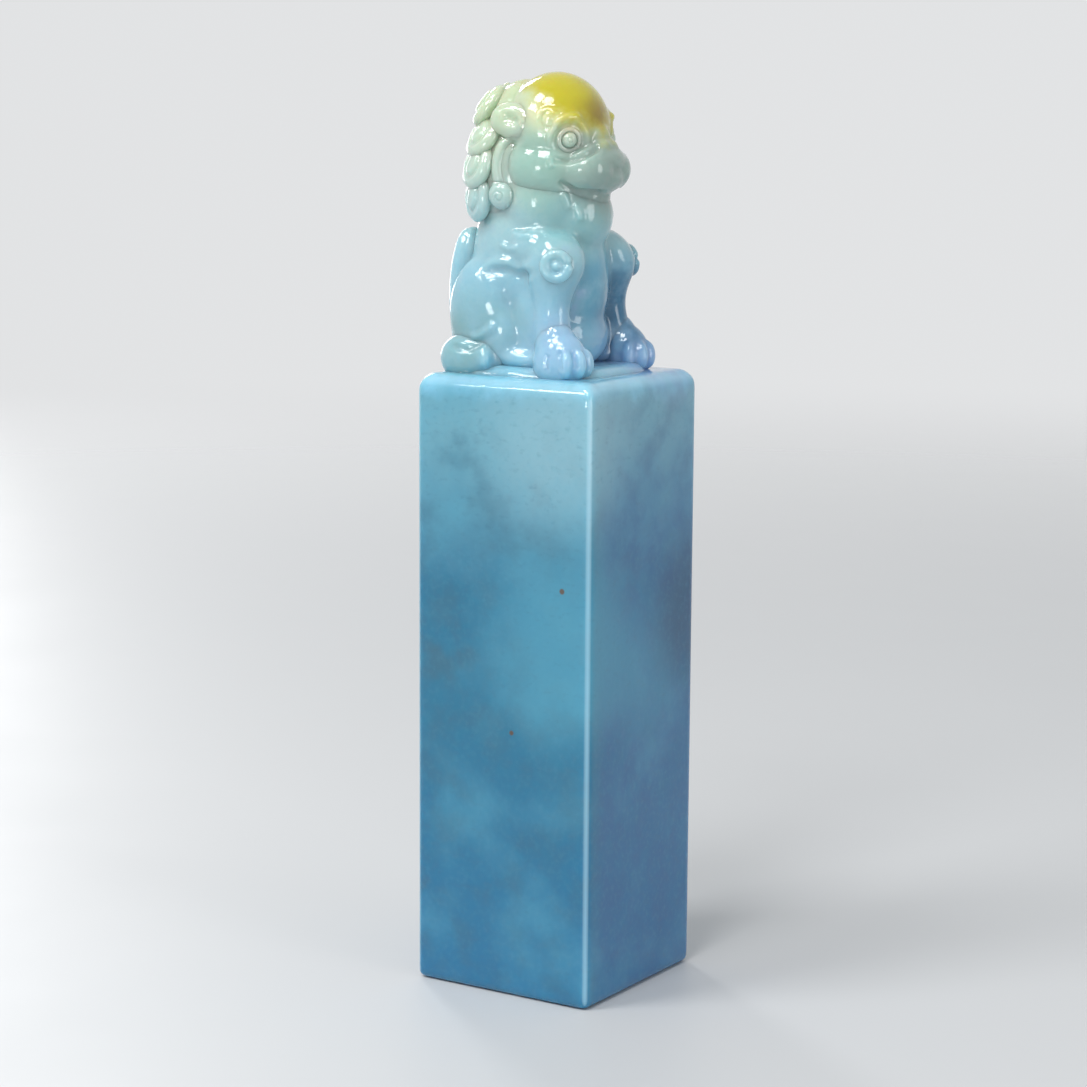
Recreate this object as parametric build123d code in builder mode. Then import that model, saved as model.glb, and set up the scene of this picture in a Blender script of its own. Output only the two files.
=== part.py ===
from build123d import *
from math import cos, radians, sin
import os

# A seal stamp carved from one stone, in millimetres.
#
# A tall square block carries a seated lion as its handle, and the flat foot of the block is the
# printing face. The lion looks along +X with its tail to -X, so its right side faces -Y. The origin is
# the middle of the printing face and +Z is up. The stone is split where the carver's grooves run: each
# form is a solid of its own, and each is cut to the larger forms that it grows from, face to face.

# The block
block_width = 14.0
block_height = 42.5
block_edge_round = 0.55
block_rim_round = 1.3
block_foot_round = 0.6

# The low mound that the lion sits on
mound_length = 11.6
mound_width = 10.6
mound_height = 0.8
mound_corner_round = 3.2
mound_rim_round = 0.6
mound_set_back = 0.7

# The torso: oval sections, one above another
torso_length = 9.4
torso_width = 8.6
torso_height = 10.4
torso_set_back = 1.9
torso_rise_shares = (0.0, 0.25, 0.5, 0.78, 1.0)
torso_girth_shares = (0.86, 0.97, 1.0, 0.94, 0.72)

# The chest bulges between the forelegs
chest_length = 4.8
chest_width = 5.4
chest_height = 10.4
chest_place_shares = (0.6, 0.0, 0.5)

# The neck's mane
mane_length = 7.2
mane_width = 8.0
mane_height = 11.0
mane_behind_torso = 0.6
mane_rise = 12.2

# The head: the forehead dome, the jowls, the muzzle, the nose and the beard
skull_length = 7.4
skull_width = 7.8
skull_height = 8.2
skull_ahead_of_mane = 2.9
skull_above_mane = 3.15
jowl_length = 6.4
jowl_width = 7.8
jowl_height = 5.8
jowl_place_shares = (0.0, 0.0, -0.66)
muzzle_length = 5.4
muzzle_width = 5.8
muzzle_height = 3.1
muzzle_place_shares = (0.5, 0.0, -0.6)
nose_length = 1.7
nose_width = 2.8
nose_height = 1.3
nose_place_shares = (0.62, 0.0, 0.95)
beard_length = 5.0
beard_width = 4.8
beard_height = 3.0
beard_place_shares = (0.28, 0.0, -1.2)

# The eyes, with a lid ring round each and a brow over it
eye_diameter = 1.0
eye_turn_angle = 54.0
eye_rise_angle = 1.0
lid_ring_diameter = 1.75
lid_thickness = 0.5
brow_length = 3.6
brow_height = 1.3
brow_thickness = 1.1
brow_turn_angle = 52.0
brow_rise_angle = 27.0

# The ears
ear_length = 3.1
ear_width = 2.2
ear_thickness = 1.6
ear_turn_angle = 122.0
ear_rise_angle = 21.0
ear_lean_angle = 62.0

# The locks of the mane: round curls, in rows round the back, counted on one side
lock_diameter = 2.2
lock_sink = 0.35
lock_first_turn_angle = 102.0
crown_lock_count = 1
upper_lock_count = 2
middle_lock_count = 2
lower_lock_count = 2
crown_lock_rise_angle = 57.0
upper_lock_rise_angle = 33.0
middle_lock_rise_angle = 11.0
lower_lock_rise_angle = -11.0

# The whisker that frames each cheek, and the curl that it ends in
whisker_length = 1.7
whisker_width = 1.5
whisker_height = 4.6
whisker_place_shares = (0.2, -0.94, 0.28)
cheek_curl_diameter = 1.6
cheek_curl_place_shares = (0.12, -1.06, -0.1)

# The forelegs, as oval sections one above another, and their paws
foreleg_length = 4.0
foreleg_width = 3.5
foreleg_height = 8.4
foreleg_rise_shares = (0.0, 0.25, 0.5, 0.75, 1.0)
foreleg_girth_shares = (0.8, 0.74, 0.74, 1.0, 0.6)
foreleg_lean_shares = (0.96, 0.83, 0.76, 0.82, 0.7)
foreleg_spread_shares = (0.92, 0.87, 0.82, 0.76, 0.66)
forepaw_length = 4.2
forepaw_width = 3.1
forepaw_height = 4.4
forepaw_place_shares = (1.04, -0.94, 0.0)

# The hind legs
haunch_length = 5.6
haunch_width = 4.0
haunch_height = 8.0
haunch_place_shares = (-0.4, -0.74, 0.32)
hind_foot_length = 4.2
hind_foot_width = 2.6
hind_foot_height = 3.6
hind_foot_place_shares = (-0.58, -0.99, 0.0)

# The toes, fanned at the front of each foot
toe_length = 1.8
toe_diameter = 0.85
toe_rise_angle = 14.0
forepaw_toe_count = 4
forepaw_toe_fan_angle = 34.0
hind_toe_count = 3
hind_toe_fan_angle = 42.0

# The curl on each shoulder: an open ring with a ball in it
shoulder_curl_diameter = 2.1
shoulder_curl_thickness = 0.75
shoulder_curl_sweep_angle = 260.0
shoulder_curl_start_angle = 70.0
shoulder_curl_turn_angle = 62.0
shoulder_curl_rise_angle = 4.0
shoulder_ball_diameter = 0.9

# The tail: a broad flame of three tongues that lies up the back
tail_width = 3.0
tail_height = 9.0
tail_thickness = 2.1
tail_behind_torso = -0.75
tongue_width = 2.7
tongue_height = 7.8
tongue_thickness = 2.2
tongue_spread = 2.2
tail_rise_share = 0.44

# Places that follow from the sizes above
lion_floor = block_height + mound_height
torso_x = -torso_set_back


class Form:
    """An egg-shaped form: a ball stretched to a length along X, a width along Y and a height."""

    def __init__(self, centre, length, width, height):
        self.centre = Vector(*centre)
        self.half = Vector(length / 2, width / 2, height / 2)
        ball = scale(Sphere(1, mode=Mode.PRIVATE), by=tuple(self.half), mode=Mode.PRIVATE)
        self.part = Pos(self.centre) * ball

    def inside(self, ahead, aside, above):
        """The point at these shares of the half-sizes from the middle."""
        return self.centre + Vector(self.half.X * ahead, self.half.Y * aside, self.half.Z * above)

    def skin(self, turn, rise):
        """The plane that touches the form `turn` degrees round from dead ahead, towards the right
        side, and `rise` degrees above its middle. Its Z points outwards and its X runs up the form."""
        ahead = cos(radians(rise)) * cos(radians(turn))
        aside = -cos(radians(rise)) * sin(radians(turn))
        above = sin(radians(rise))
        outward = Vector(ahead / self.half.X, aside / self.half.Y, above / self.half.Z)
        level = Vector(0, 0, 1).cross(outward)
        return Plane(self.inside(ahead, aside, above), x_dir=outward.cross(level), z_dir=outward)


def in_torso(ahead, aside, above):
    """The point at shares of the torso's half-length and half-width from its middle line, and at a
    share of its height above the lion's floor."""
    return Vector(
        torso_x + torso_length / 2 * ahead,
        torso_width / 2 * aside,
        lion_floor + torso_height * above,
    )


def oval_tower(length, width, height, rise_shares, girth_shares, middles):
    """A part lofted through oval sections, from the lion's floor up."""
    with BuildPart() as tower:
        for rise_share, girth_share, middle in zip(rise_shares, girth_shares, middles):
            with BuildSketch(Plane((middle.X, middle.Y, lion_floor + height * rise_share))):
                Ellipse(length / 2 * girth_share, width / 2 * girth_share)
        loft()
    return tower


def seat_on(*larger):
    """Cuts the part being built to the larger forms that it grows from."""
    for form in larger:
        add(form.part, mode=Mode.SUBTRACT)


def left_twin(right):
    """The left side's twin of a finished right side's part."""
    with BuildPart() as left:
        add(mirror(right.part, about=Plane.XZ, mode=Mode.PRIVATE))
    return left


# The block: the upright edges are crisp, the rim under the lion is softer
with BuildPart() as seal_block:
    Box(block_width, block_width, block_height, align=(Align.CENTER, Align.CENTER, Align.MIN))
    fillet(seal_block.edges().filter_by(Axis.Z), block_edge_round)
    fillet(seal_block.faces().sort_by(Axis.Z)[-1].edges(), block_rim_round)
    fillet(seal_block.faces().sort_by(Axis.Z)[0].edges(), block_foot_round)


# The mound
with BuildPart() as ground_mound:
    with BuildSketch(Plane((-mound_set_back, 0, block_height))):
        RectangleRounded(mound_length, mound_width, mound_corner_round)
    extrude(amount=mound_height)
    fillet(ground_mound.faces().sort_by(Axis.Z)[-1].edges(), mound_rim_round)


# The torso, which every other form of the lion grows from
torso = oval_tower(
    torso_length,
    torso_width,
    torso_height,
    torso_rise_shares,
    torso_girth_shares,
    [in_torso(0, 0, 0)] * len(torso_rise_shares),
)


# The large egg-shaped forms, each placed on the one that carries it
chest_form = Form(in_torso(*chest_place_shares), chest_length, chest_width, chest_height)
mane_form = Form(
    (torso_x - mane_behind_torso, 0, lion_floor + mane_rise), mane_length, mane_width, mane_height
)
skull_form = Form(
    mane_form.centre + Vector(skull_ahead_of_mane, 0, skull_above_mane),
    skull_length,
    skull_width,
    skull_height,
)
jowl_form = Form(skull_form.inside(*jowl_place_shares), jowl_length, jowl_width, jowl_height)
muzzle_form = Form(
    skull_form.inside(*muzzle_place_shares), muzzle_length, muzzle_width, muzzle_height
)
nose_form = Form(muzzle_form.inside(*nose_place_shares), nose_length, nose_width, nose_height)
beard_form = Form(skull_form.inside(*beard_place_shares), beard_length, beard_width, beard_height)

with BuildPart() as chest:
    add(chest_form.part)
    seat_on(seal_block, ground_mound, torso)

with BuildPart() as mane:
    add(mane_form.part)
    seat_on(torso)

with BuildPart() as skull:
    add(skull_form.part)
    seat_on(torso, mane_form)

with BuildPart() as jowls:
    add(jowl_form.part)
    seat_on(torso, mane_form, skull_form)

with BuildPart() as muzzle:
    add(muzzle_form.part)
    seat_on(skull_form, jowl_form)

with BuildPart() as beard:
    add(beard_form.part)
    seat_on(torso, chest_form, mane_form, skull_form, jowl_form, muzzle_form)

with BuildPart() as nose:
    add(nose_form.part)
    seat_on(skull_form, jowl_form, muzzle_form)


# The eyes, their lids and the brows
eye_place = skull_form.skin(eye_turn_angle, eye_rise_angle)

with BuildPart() as eyes:
    with Locations(eye_place):
        Sphere(eye_diameter / 2)
    seat_on(skull_form, jowl_form, muzzle_form)
    mirror(about=Plane.XZ)

with BuildPart() as eyelids:
    with Locations(eye_place):
        Torus(lid_ring_diameter / 2, lid_thickness / 2)
    seat_on(skull_form, jowl_form, muzzle_form, eyes)
    mirror(about=Plane.XZ)

brow_form = Form((0, 0, 0), brow_height, brow_length, brow_thickness)

with BuildPart() as brows:
    with Locations(skull_form.skin(brow_turn_angle, brow_rise_angle)):
        add(brow_form.part)
    seat_on(skull_form, eyelids)
    mirror(about=Plane.XZ)


# The ears
ear_place = skull_form.skin(ear_turn_angle, ear_rise_angle).location * Rotation(
    0, 0, ear_lean_angle
)
ear_form = Form((0, 0, 0), ear_length, ear_width, ear_thickness)

with BuildPart() as ears:
    with Locations(ear_place):
        add(ear_form.part)
    seat_on(skull_form, mane_form, brows)
    mirror(about=Plane.XZ)


# Each cheek's whisker, on the border between the face and the mane, and the curl under it
whisker_form = Form(
    mane_form.inside(*whisker_place_shares), whisker_length, whisker_width, whisker_height
)

with BuildPart() as whiskers:
    add(whisker_form.part)
    seat_on(mane_form, skull_form, jowl_form, ears)
    mirror(about=Plane.XZ)

with BuildPart() as cheek_curls:
    with Locations(mane_form.inside(*cheek_curl_place_shares)):
        Sphere(cheek_curl_diameter / 2)
    seat_on(mane_form, jowl_form, whisker_form)
    mirror(about=Plane.XZ)


# The locks: round curls, set row by row on the right side of the mane and mirrored
def lock_places(count, rise):
    """Places for the right side's locks of a row, evenly spread from the ear to the back."""
    step = (180 - lock_first_turn_angle) / count
    for number in range(count):
        place = mane_form.skin(lock_first_turn_angle + step * (number + 1 / 2), rise)
        yield place.offset(-lock_sink)


with BuildPart() as crown_locks:
    with Locations(*lock_places(crown_lock_count, crown_lock_rise_angle)):
        Sphere(lock_diameter / 2)
    seat_on(mane_form, skull_form, ears)
    mirror(about=Plane.XZ)

with BuildPart() as upper_locks:
    with Locations(*lock_places(upper_lock_count, upper_lock_rise_angle)):
        Sphere(lock_diameter / 2)
    seat_on(mane_form, skull_form, ears, whiskers, crown_locks)
    mirror(about=Plane.XZ)

with BuildPart() as middle_locks:
    with Locations(*lock_places(middle_lock_count, middle_lock_rise_angle)):
        Sphere(lock_diameter / 2)
    seat_on(mane_form, whiskers, cheek_curls, upper_locks)
    mirror(about=Plane.XZ)

with BuildPart() as lower_locks:
    with Locations(*lock_places(lower_lock_count, lower_lock_rise_angle)):
        Sphere(lock_diameter / 2)
    seat_on(torso, mane_form, cheek_curls, middle_locks)
    mirror(about=Plane.XZ)


# The right legs. The forms that reach the ground are cut to the mound and to the block's top.
haunch_form = Form(in_torso(*haunch_place_shares), haunch_length, haunch_width, haunch_height)
forepaw_form = Form(in_torso(*forepaw_place_shares), forepaw_length, forepaw_width, forepaw_height)
hind_foot_form = Form(
    in_torso(*hind_foot_place_shares), hind_foot_length, hind_foot_width, hind_foot_height
)
foreleg_tower = oval_tower(
    foreleg_length,
    foreleg_width,
    foreleg_height,
    foreleg_rise_shares,
    foreleg_girth_shares,
    [
        in_torso(lean, -spread, 0)
        for lean, spread in zip(foreleg_lean_shares, foreleg_spread_shares)
    ],
)

with BuildPart() as right_haunch:
    add(haunch_form.part)
    seat_on(seal_block, ground_mound, torso, mane_form)

with BuildPart() as right_foreleg:
    add(foreleg_tower.part)
    seat_on(torso, chest_form, haunch_form, mane_form, jowl_form, beard_form)

with BuildPart() as right_forepaw:
    add(forepaw_form.part)
    seat_on(seal_block, ground_mound, torso, chest_form, haunch_form, foreleg_tower)

with BuildPart() as right_hind_foot:
    add(hind_foot_form.part)
    seat_on(seal_block, ground_mound, torso, haunch_form, foreleg_tower, forepaw_form)


# The left legs are the right ones' twins
left_haunch = left_twin(right_haunch)
left_foreleg = left_twin(right_foreleg)
left_forepaw = left_twin(right_forepaw)
left_hind_foot = left_twin(right_hind_foot)


# The toes
def toe_places(foot_form, count, fan_angle):
    """Places for the toes, fanned round the front of a foot."""
    for number in range(count):
        yield foot_form.skin(fan_angle * (number - (count - 1) / 2), toe_rise_angle)


toe_form = Form((0, 0, 0), toe_length, toe_diameter, toe_diameter)

with BuildPart() as forepaw_toes:
    with Locations(*toe_places(forepaw_form, forepaw_toe_count, forepaw_toe_fan_angle)):
        add(toe_form.part)
    seat_on(seal_block, ground_mound, forepaw_form, foreleg_tower)
    mirror(about=Plane.XZ)

with BuildPart() as hind_toes:
    with Locations(*toe_places(hind_foot_form, hind_toe_count, hind_toe_fan_angle)):
        add(toe_form.part)
    seat_on(seal_block, ground_mound, hind_foot_form, haunch_form, torso, forepaw_form)
    mirror(about=Plane.XZ)


# The shoulder curls: an open ring with a ball in it, on the outside of each shoulder
shoulder_form = Form(
    in_torso(foreleg_lean_shares[-2], -foreleg_spread_shares[-2], 0)
    + Vector(0, 0, foreleg_height * foreleg_rise_shares[-2]),
    foreleg_length,
    foreleg_width,
    foreleg_height,
)
shoulder_place = shoulder_form.skin(shoulder_curl_turn_angle, shoulder_curl_rise_angle)

with BuildPart() as shoulder_curls:
    with Locations(shoulder_place.location * Rotation(0, 0, shoulder_curl_start_angle)):
        Torus(
            shoulder_curl_diameter / 2,
            shoulder_curl_thickness / 2,
            major_angle=shoulder_curl_sweep_angle,
        )
    with Locations(shoulder_place):
        Sphere(shoulder_ball_diameter / 2)
    seat_on(foreleg_tower, torso, chest_form)
    mirror(about=Plane.XZ)


# The tail: a flame of three tongues that lies up the back
tail_x = torso_x - torso_length / 2 - tail_behind_torso
tail_form = Form(
    (tail_x, 0, lion_floor + tail_height * tail_rise_share),
    tail_thickness,
    tail_width,
    tail_height,
)
tongue_form = Form(
    (tail_x, -tongue_spread, lion_floor + tongue_height * tail_rise_share),
    tongue_thickness,
    tongue_width,
    tongue_height,
)

with BuildPart() as tail:
    add(tail_form.part)
    seat_on(seal_block, ground_mound, torso, mane_form)

with BuildPart() as tail_tongues:
    add(tongue_form.part)
    seat_on(seal_block, ground_mound, torso, haunch_form, hind_foot_form, tail_form)
    mirror(about=Plane.XZ)


pieces = {
    "seal_block": seal_block,
    "ground_mound": ground_mound,
    "torso": torso,
    "chest": chest,
    "mane": mane,
    "skull": skull,
    "jowls": jowls,
    "muzzle": muzzle,
    "beard": beard,
    "nose": nose,
    "eyes": eyes,
    "eyelids": eyelids,
    "brows": brows,
    "ears": ears,
    "whiskers": whiskers,
    "cheek_curls": cheek_curls,
    "crown_locks": crown_locks,
    "upper_locks": upper_locks,
    "middle_locks": middle_locks,
    "lower_locks": lower_locks,
    "right_haunch": right_haunch,
    "left_haunch": left_haunch,
    "right_foreleg": right_foreleg,
    "left_foreleg": left_foreleg,
    "right_forepaw": right_forepaw,
    "left_forepaw": left_forepaw,
    "right_hind_foot": right_hind_foot,
    "left_hind_foot": left_hind_foot,
    "forepaw_toes": forepaw_toes,
    "hind_toes": hind_toes,
    "shoulder_curls": shoulder_curls,
    "tail": tail,
    "tail_tongues": tail_tongues,
}

os.makedirs("parts", exist_ok=True)
for name, piece in pieces.items():
    piece.part.label = name
    export_step(piece.part, f"parts/{name}.step")
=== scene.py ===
# %% [markdown]
# This lesson dresses a seal stamp: a tall square block of jadeite with a seated guardian lion carved out
# of the same stone as its handle. The CAD model gives every form its place and size. A carved and
# polished stone has no flat facets and no sharp joints, so nearly every form is modelled again here,
# with soft creases where the carver's grooves run, and the CAD solids stay hidden underneath.

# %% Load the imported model
import bpy
from math import cos, pi, radians, sin
from mathutils import Matrix, Vector, kdtree


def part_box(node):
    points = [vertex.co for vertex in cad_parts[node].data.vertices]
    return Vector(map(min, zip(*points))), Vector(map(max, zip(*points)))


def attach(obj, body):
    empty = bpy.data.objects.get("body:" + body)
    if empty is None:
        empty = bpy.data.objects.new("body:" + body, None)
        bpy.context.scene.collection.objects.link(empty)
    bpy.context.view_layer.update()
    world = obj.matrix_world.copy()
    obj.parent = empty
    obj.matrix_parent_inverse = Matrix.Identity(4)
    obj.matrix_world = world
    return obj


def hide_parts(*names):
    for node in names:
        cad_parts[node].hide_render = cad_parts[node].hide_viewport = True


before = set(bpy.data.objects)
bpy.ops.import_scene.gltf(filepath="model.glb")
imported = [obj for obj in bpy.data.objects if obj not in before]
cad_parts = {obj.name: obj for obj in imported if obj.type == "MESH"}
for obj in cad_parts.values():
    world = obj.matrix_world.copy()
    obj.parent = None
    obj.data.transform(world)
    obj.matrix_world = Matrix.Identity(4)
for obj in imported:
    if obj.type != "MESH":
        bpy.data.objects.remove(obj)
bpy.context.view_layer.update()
print("CAD nodes:", len(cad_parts))

# %% [markdown]
# The camera stands where the photographer's did. Its place and turn were worked out from the eight
# corners of the block, which is a square column, so the picture of those corners fixes all of them.
# The lens is long, which is why the block's sides look almost parallel.

# %% Camera
PHOTO_SIDE = 1087  # pixels
SENSOR = 36.0  # millimetres
LENS = 94.39  # millimetres
CAMERA_PLACE = Vector((104.854, -163.956, 61.567))  # millimetres
CAMERA_TURN, CAMERA_DIP, CAMERA_ROLL = radians(32.88), radians(9.078), radians(0.348)
MILLIMETRE = 0.001  # in metres

ahead = Vector((-sin(CAMERA_TURN) * cos(CAMERA_DIP), cos(CAMERA_TURN) * cos(CAMERA_DIP), -sin(CAMERA_DIP)))
level = Vector((cos(CAMERA_TURN), sin(CAMERA_TURN), 0))
upright = level.cross(ahead)
to_right = level * cos(CAMERA_ROLL) + upright * sin(CAMERA_ROLL)
to_top = upright * cos(CAMERA_ROLL) - level * sin(CAMERA_ROLL)

camera_data = bpy.data.cameras.new("camera")
camera_data.lens = LENS
camera_data.sensor_width = SENSOR
camera_data.clip_start = 0.01
camera = bpy.data.objects.new("camera", camera_data)
bpy.context.collection.objects.link(camera)
camera.matrix_world = Matrix.Translation(CAMERA_PLACE * MILLIMETRE) @ Matrix(
    (to_right, to_top, -ahead)
).transposed().to_4x4()
bpy.context.scene.camera = camera
bpy.context.scene.view_settings.view_transform = "Standard"
print("camera at", [round(v, 4) for v in camera.location])


# %% [markdown]
# A few helpers do what a modeller does by hand: add a ball and stretch it, pull a worm along a few
# points, join forms, and press a groove into the surface. The forms are modelled in millimetres,
# because the remesh and smooth tools suit such numbers, and a finished piece is then scaled to metres.

# %% Helpers that pick and join
def pick(*pieces):
    """Only these are selected, and the first is active."""
    bpy.ops.object.select_all(action="DESELECT")
    for piece in pieces:
        piece.select_set(True)
    bpy.context.view_layer.objects.active = pieces[0]
    return pieces[0]


def modify(piece, kind, **settings):
    """Adds a modifier, sets it and applies it."""
    pick(piece)
    modifier = piece.modifiers.new(kind.title(), kind)
    for name, value in settings.items():
        setattr(modifier, name, value)
    bpy.ops.object.modifier_apply(modifier=modifier.name)
    return piece


def join(parts):
    """Joins the parts into the first."""
    joined = pick(*parts)
    if len(parts) > 1:
        bpy.ops.object.join()
    return joined


# %% Helpers that add a ball, a worm and a tower
STRAND_STEPS, STRAND_ROUNDNESS = 8, 5  # how finely a strand is divided along its length and round it
DISC_CORNERS = 48


def egg(centre, size, turn=None, detail=5):
    """A ball stretched to a size, and turned by a matrix."""
    bpy.ops.object.select_all(action="DESELECT")
    angles = turn.to_euler() if turn else (0, 0, 0)
    bpy.ops.mesh.primitive_ico_sphere_add(
        subdivisions=detail, radius=0.5, location=centre, rotation=angles, scale=size
    )
    bpy.ops.object.transform_apply(location=True, rotation=True, scale=True)
    return bpy.context.active_object


def worm(points, radii):
    """A closed round strand through the points, as thick at each as its radius says."""
    curve = bpy.data.curves.new("strand", "CURVE")
    curve.dimensions = "3D"
    spline = curve.splines.new("BEZIER")
    spline.bezier_points.add(len(points) - 1)
    for knot, point, radius in zip(spline.bezier_points, points, radii):
        knot.co = point
        knot.radius = radius
        knot.handle_left_type = knot.handle_right_type = "AUTO"
    curve.bevel_depth = 1
    curve.bevel_resolution = STRAND_ROUNDNESS
    curve.resolution_u = STRAND_STEPS
    curve.use_fill_caps = True
    strand = bpy.data.objects.new("strand", curve)
    bpy.context.collection.objects.link(strand)
    pick(strand)
    bpy.ops.object.convert(target="MESH")
    ends = [egg(points[end], [2 * radii[end]] * 3, detail=3) for end in (0, -1)]
    return join([bpy.context.view_layer.objects[strand.name]] + ends)


def tower(sections):
    """A closed form through oval sections (x, y, z, half length, half width), one above another,
    made by extruding a disc upwards and resizing it."""
    bpy.ops.object.select_all(action="DESELECT")
    x, y, z, long, wide = sections[0]
    bpy.ops.mesh.primitive_circle_add(
        vertices=DISC_CORNERS, radius=1, fill_type="NGON", location=(x, y, z)
    )
    bpy.ops.object.transform_apply(location=True, rotation=True, scale=True)
    bpy.ops.object.mode_set(mode="EDIT")
    bpy.ops.mesh.select_all(action="SELECT")
    bpy.ops.transform.resize(value=(long, wide, 1), center_override=(x, y, z))
    for low, high in zip(sections, sections[1:]):
        step = Vector(high[:3]) - Vector(low[:3])
        bpy.ops.mesh.extrude_region_move(TRANSFORM_OT_translate={"value": step})
        bpy.ops.transform.resize(
            value=(high[3] / low[3], high[4] / low[4], 1), center_override=high[:3]
        )
    bpy.ops.mesh.select_all(action="SELECT")
    bpy.ops.mesh.normals_make_consistent(inside=False)
    bpy.ops.object.mode_set(mode="OBJECT")
    return modify(bpy.context.active_object, "SUBSURF", levels=2, render_levels=2)


# %% Helpers that fuse forms and polish them
def polish(piece, rounds):
    """Rubs the surface down, as a carver does."""
    return modify(piece, "SMOOTH", factor=0.5, iterations=rounds)


def fuse(name, middle, sided, grain, rounds):
    """One skin round the forms in the middle and round the right side's forms and their twins. The
    grain is the size of the voxels that wrap it, and the rounds rub it down afterwards."""
    parts = list(middle)
    if sided:
        parts.append(modify(join(sided), "MIRROR", use_axis=(False, True, False), use_mirror_merge=False))
    piece = join(parts)
    piece.name = piece.data.name = name
    modify(piece, "REMESH", mode="VOXEL", voxel_size=grain, adaptivity=0)
    polish(piece, rounds)
    print(name, "has", len(piece.data.polygons), "faces")
    return piece


# %% [markdown]
# The grooves and ridges of the face and the mane follow lines that the photograph shows. Each line is a
# few pixels, through which rays go from the camera to the form, so the line lies on the stone itself.
# The left side gets the mirror image. A vertex group holds how near each vertex is to a line, and a
# Displace modifier with that group presses the groove in or raises the ridge.

# %% Helpers that look through the camera
FOCAL = LENS / SENSOR * PHOTO_SIDE  # the focal length in pixels


def sight(pixel):
    """The direction in which the camera sees a pixel of the photograph."""
    across, down = pixel[0] - PHOTO_SIDE / 2, pixel[1] - PHOTO_SIDE / 2
    return (ahead + to_right * across / FOCAL - to_top * down / FOCAL).normalized()


def touch(piece, pixel, unit=1):
    """Where the camera's ray through a pixel meets the piece, and which way the surface faces. The unit
    is 1 for a mesh in millimetres, and MILLIMETRE for a finished piece, which is in metres."""
    hit, point, normal, _ = piece.ray_cast(CAMERA_PLACE * unit, sight(pixel))
    if not hit:
        raise ValueError(f"the pixel {pixel} misses {piece.name}")
    return point / unit, normal


def facing(point, outward):
    """A place at the point, with its Z pointing outwards and its Y running up."""
    return Matrix.Translation(point) @ outward.to_track_quat("Z", "Y").to_matrix().to_4x4()


def on_piece(piece, pixel, unit=1):
    """The place on a piece at a pixel."""
    return facing(*touch(piece, pixel, unit))


# %% Helpers that make lines
LINE_STEPS = 10  # short steps from one drawn point to the next


def through(points):
    """A smooth line through the points."""
    rounded = []
    for number in range(len(points) - 1):
        before, start = points[max(number - 1, 0)], points[number]
        end, after = points[number + 1], points[min(number + 2, len(points) - 1)]
        for step in range(LINE_STEPS):
            t = step / LINE_STEPS
            rounded.append(
                0.5 * (2 * start + (end - before) * t + (2 * before - 5 * start + 4 * end - after) * t**2
                       + (3 * start - before - 3 * end + after) * t**3)
            )
    return rounded + [points[-1]]


def settle(piece, points):
    """The points moved to the nearest places on the piece."""
    return [piece.closest_point_on_mesh(point)[1] for point in points]


def trace(piece, pixels):
    """A smooth line on the piece through what the camera sees at these pixels."""
    return through([touch(piece, pixel)[0] for pixel in pixels])


def twins(lines):
    """The lines and their mirror images on the left side."""
    return lines + [[Vector((point.x, -point.y, point.z)) for point in line] for line in lines]


def ring_points(place, radius, start, sweep, count, out=0.0):
    """Points on an arc round a place, in its own plane or a little out of it."""
    angles = [radians(start + sweep * number / (count - 1)) for number in range(count)]
    return [place @ Vector((radius * cos(angle), radius * sin(angle), out)) for angle in angles]


def swirl_points(place, start, step, count, outer, shrink, out, size=(1, 1), shift=0.0):
    """Points that wind inwards round a place, on shares of a length and a width that shrink."""
    points = []
    for number in range(count):
        angle, share = radians(start - number * step), outer - shrink * number / (count - 1)
        across, up = size[0] * share * cos(angle), size[1] * share * sin(angle)
        points.append(place @ Vector((shift + across, up, out)))
    return points


# %% Helpers that press a line in or raise it
FAINT_END = 0.02  # keeps a little of a line's strength at its very ends


def relief(piece, lines, reach, height, taper=0.2):
    """Raises the surface by height along the lines and their twins, or presses it in where height is
    below zero. It fades out at reach to each side, and over a share of the line at each end."""
    lines = twins(lines)
    tree = kdtree.KDTree(sum(len(line) for line in lines))
    fades = []
    for line in lines:
        for number, point in enumerate(line):
            tree.insert(point, len(fades))
            along = number / (len(line) - 1)
            fades.append(min(1, (min(along, 1 - along) + FAINT_END) / taper) if taper else 1)
    tree.balance()
    group = piece.vertex_groups.new(name="line")
    for vertex in piece.data.vertices:
        _, number, distance = tree.find(vertex.co)
        if distance < reach:
            group.add([vertex.index], fades[number] * (0.5 + 0.5 * cos(pi * distance / reach)), "REPLACE")
    modify(piece, "DISPLACE", strength=height, mid_level=0, direction="NORMAL", vertex_group="line")
    piece.vertex_groups.remove(piece.vertex_groups["line"])
    return piece


def groove(piece, lines, reach, depth, taper=0.2):
    """Presses a groove in along the lines."""
    return relief(piece, lines, reach, -depth, taper)


# %% Helper for a place on a round form
def skin(centre, size, turn, rise):
    """The place on an egg-shaped form that is `turn` degrees round from dead ahead towards the right
    side and `rise` degrees above its middle. Its Z points outwards and its X runs up the form."""
    half = Vector(size) / 2
    share = Vector((
        cos(radians(rise)) * cos(radians(turn)), -cos(radians(rise)) * sin(radians(turn)), sin(radians(rise))
    ))
    outward = Vector((share.x / half.x, share.y / half.y, share.z / half.z)).normalized()
    around = outward.cross(Vector((0, 0, 1)).cross(outward)).normalized()
    place = Vector(centre) + Vector((share.x * half.x, share.y * half.y, share.z * half.z))
    turned = Matrix((around, outward.cross(around), outward)).transposed()
    return Matrix.Translation(place) @ turned.to_4x4()


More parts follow.
